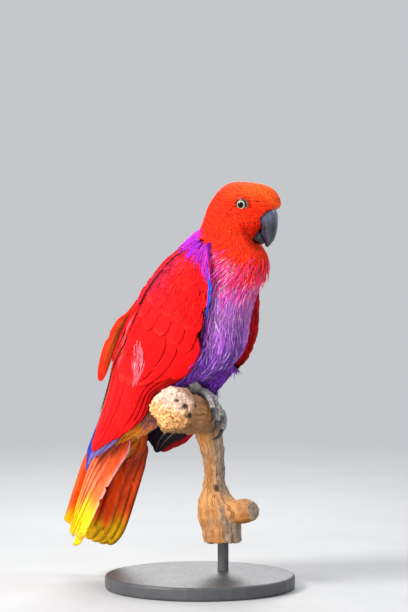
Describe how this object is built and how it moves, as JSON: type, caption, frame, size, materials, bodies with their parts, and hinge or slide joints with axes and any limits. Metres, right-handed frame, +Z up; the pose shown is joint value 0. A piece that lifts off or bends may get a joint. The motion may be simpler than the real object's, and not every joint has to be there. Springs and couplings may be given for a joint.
{
  "type": "female eclectus parrot, still model on a perch and stand",
  "caption": "Life-size still model of a female eclectus parrot gripping a cut length of branch, held up by a rod on a plain round base.",
  "frame": {"origin": "the middle of the round base's underside", "axes": "+Z up, +X the way the bird's body faces, +Y the bird's left side"},
  "size_m": [0.2334, 0.172, 0.3668],
  "materials": {
    "red_feathers": "soft sheen of overlapping feathers",
    "violet_feathers": "soft, hair-like feathers",
    "tail_feathers": "long smooth vanes, yellow at the tips",
    "black_bill": "horn with a satin gloss",
    "grey_skin": "dry scaled skin",
    "eye": "wet gloss",
    "wood": "weathered, with no bark",
    "stand": "satin paint"
  },
  "bodies": {
    "root": {"head": "red_feathers", "neck": "red_feathers", "trunk": "violet_feathers", "tail": "tail_feathers", "wing_right": "red_feathers", "wing_left": "red_feathers", "shoulder_feather": "red_feathers", "leg_right": "violet_feathers", "leg_left": "violet_feathers", "foot_right": "grey_skin", "foot_left": "grey_skin", "claw_right_front_inner": "black_bill", "claw_right_front_outer": "black_bill", "claw_right_back_inner": "black_bill", "claw_right_back_outer": "black_bill", "claw_left_front_inner": "black_bill", "claw_left_front_outer": "black_bill", "claw_left_back_inner": "black_bill", "claw_left_back_outer": "black_bill", "bill_upper": "black_bill", "bill_lower": "black_bill", "eye_right": "eye", "eye_left": "eye", "perch_branch": "wood", "stand_base": "stand", "stand_rod": "stand"}
  },
  "joints": []
}
